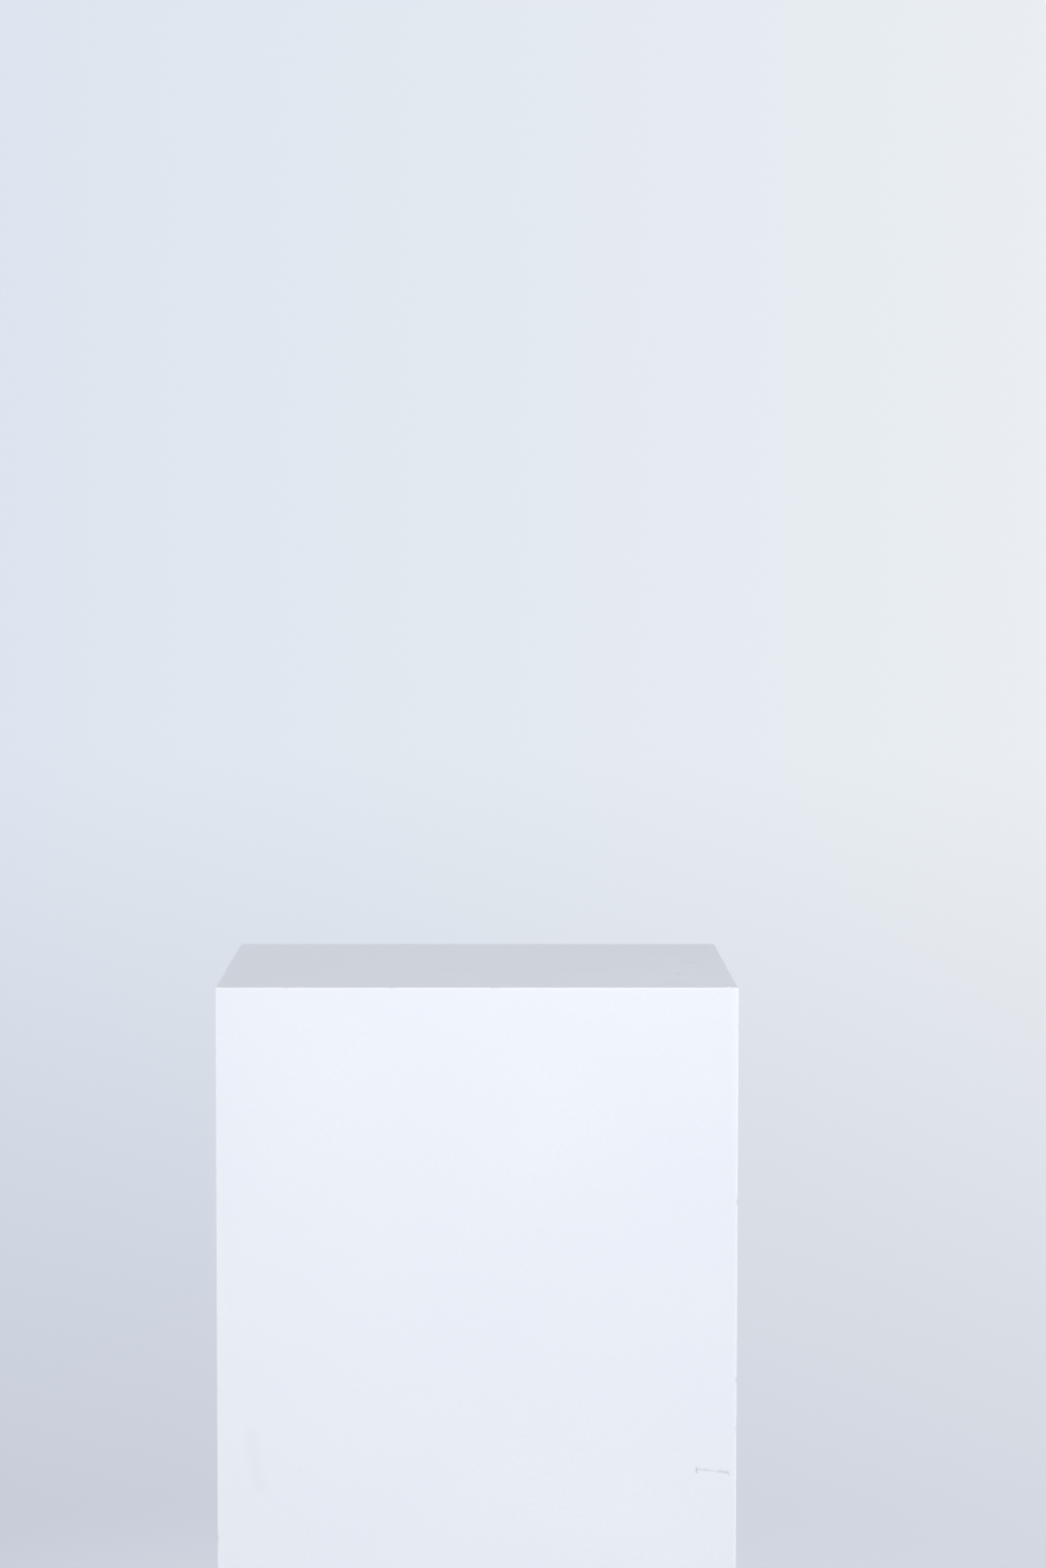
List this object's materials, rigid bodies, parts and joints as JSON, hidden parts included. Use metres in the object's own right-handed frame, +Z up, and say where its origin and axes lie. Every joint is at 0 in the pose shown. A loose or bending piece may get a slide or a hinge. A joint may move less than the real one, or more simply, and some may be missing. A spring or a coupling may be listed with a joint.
{
  "type": "display plinth",
  "caption": "Tall white painted box plinth for showing a sculpture, mitred on every edge, on screw-in levelling feet hidden under its base.",
  "frame": {"origin": "on the floor under the middle of the box, with the levelling feet fully screwed in", "axes": "+Z up, +X to the right and the front face towards -Y"},
  "size_m": [0.4, 0.3, 1],
  "materials": {
    "painted_board": "satin",
    "pine": "matte",
    "plywood": "matte",
    "beech": "matte",
    "zinc_screws": "satin",
    "zinc_feet": "satin",
    "nylon": "satin",
    "rubber": "matte"
  },
  "bodies": {
    "carcass": {"display_top": "painted_board", "front_wall": "painted_board", "right_wall": "painted_board", "back_wall": "painted_board", "left_wall": "painted_board", "front_top_cleat": "pine", "front_base_cleat": "pine", "right_top_cleat": "pine", "right_base_cleat": "pine", "back_top_cleat": "pine", "back_base_cleat": "pine", "left_top_cleat": "pine", "left_base_cleat": "pine", "left_diaphragm_cleat": "pine", "right_diaphragm_cleat": "pine", "diaphragm": "plywood", "base_board": "plywood", "diaphragm_screws": "zinc_screws", "diaphragm_cleat_screws": "zinc_screws", "top_cleat_screws": "zinc_screws", "base_cleat_screws": "zinc_screws", "base_board_screws": "zinc_screws", "front_left_batten": "pine", "front_left_biscuits": "beech", "front_left_batten_screws": "zinc_screws", "front_left_tee_nut": "zinc_feet", "front_right_batten": "pine", "front_right_biscuits": "beech", "front_right_batten_screws": "zinc_screws", "front_right_tee_nut": "zinc_feet", "back_right_batten": "pine", "back_right_biscuits": "beech", "back_right_batten_screws": "zinc_screws", "back_right_tee_nut": "zinc_feet", "back_left_batten": "pine", "back_left_biscuits": "beech", "back_left_batten_screws": "zinc_screws", "back_left_tee_nut": "zinc_feet"},
    "front_left_pad": {"front_left_foot_pad": "nylon", "front_left_foot_sole": "rubber"},
    "front_left_stud": {"front_left_foot_stud": "zinc_feet"},
    "front_right_pad": {"front_right_foot_pad": "nylon", "front_right_foot_sole": "rubber"},
    "front_right_stud": {"front_right_foot_stud": "zinc_feet"},
    "back_right_pad": {"back_right_foot_pad": "nylon", "back_right_foot_sole": "rubber"},
    "back_right_stud": {"back_right_foot_stud": "zinc_feet"},
    "back_left_pad": {"back_left_foot_pad": "nylon", "back_left_foot_sole": "rubber"},
    "back_left_stud": {"back_left_foot_stud": "zinc_feet"}
  },
  "joints": [
    {"name": "front_left_foot_slide", "type": "slide", "parent": "carcass", "child": "front_left_pad", "axis": [0, 0, -1], "range_m": [0, 0.0195]},
    {"name": "front_left_stud_turn", "type": "hinge", "parent": "front_left_pad", "child": "front_left_stud", "pos_m": [-0.138, -0.088, 0.0157], "axis": [0, 0, -1], "range_deg": [0, 4680]},
    {"name": "front_right_foot_slide", "type": "slide", "parent": "carcass", "child": "front_right_pad", "axis": [0, 0, -1], "range_m": [0, 0.0195]},
    {"name": "front_right_stud_turn", "type": "hinge", "parent": "front_right_pad", "child": "front_right_stud", "pos_m": [0.138, -0.088, 0.0157], "axis": [0, 0, -1], "range_deg": [0, 4680]},
    {"name": "back_right_foot_slide", "type": "slide", "parent": "carcass", "child": "back_right_pad", "axis": [0, 0, -1], "range_m": [0, 0.0195]},
    {"name": "back_right_stud_turn", "type": "hinge", "parent": "back_right_pad", "child": "back_right_stud", "pos_m": [0.138, 0.088, 0.0157], "axis": [0, 0, -1], "range_deg": [0, 4680]},
    {"name": "back_left_foot_slide", "type": "slide", "parent": "carcass", "child": "back_left_pad", "axis": [0, 0, -1], "range_m": [0, 0.0195]},
    {"name": "back_left_stud_turn", "type": "hinge", "parent": "back_left_pad", "child": "back_left_stud", "pos_m": [-0.138, 0.088, 0.0157], "axis": [0, 0, -1], "range_deg": [0, 4680]}
  ],
  "couplings": [
    {"joint": "front_left_stud_turn", "follows": "front_left_foot_slide", "rad_per_m": 4188.8},
    {"joint": "front_right_stud_turn", "follows": "front_right_foot_slide", "rad_per_m": 4188.8},
    {"joint": "back_right_stud_turn", "follows": "back_right_foot_slide", "rad_per_m": 4188.8},
    {"joint": "back_left_stud_turn", "follows": "back_left_foot_slide", "rad_per_m": 4188.8}
  ]
}
